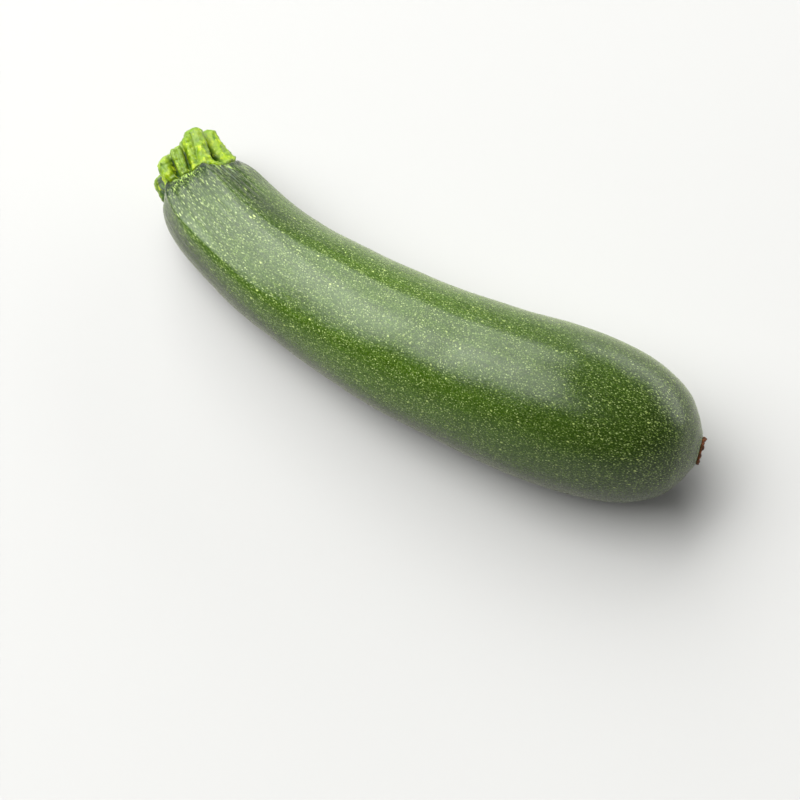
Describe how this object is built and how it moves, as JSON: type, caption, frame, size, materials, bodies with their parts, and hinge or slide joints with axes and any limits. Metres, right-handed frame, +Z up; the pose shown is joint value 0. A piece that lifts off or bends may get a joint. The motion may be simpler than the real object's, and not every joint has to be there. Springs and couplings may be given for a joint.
{
  "type": "zucchini",
  "caption": "Whole green zucchini lying on its side, gently curved, with a ridged cut stem stub at the narrow end and a small dry flower scar at the thick end.",
  "frame": {"origin": "on the surface that the zucchini rests on, under the middle of its bounding box", "axes": "+Z up, +X along the length from the stem to the flower end, +Y towards the hollow side of the bend"},
  "size_m": [0.1974, 0.0568, 0.0494],
  "materials": {
    "green_skin": "thin waxy vegetable skin, dark green with fine pale flecks, satin sheen",
    "stem_stub": "fresh cut woody stalk, yellow-green, fibrous and bumpy",
    "dry_scar": "dry rust-brown flower remnant, matte and rough"
  },
  "bodies": {
    "root": {"fruit": "green_skin", "stem": "stem_stub", "blossom_scar": "dry_scar"}
  },
  "joints": []
}
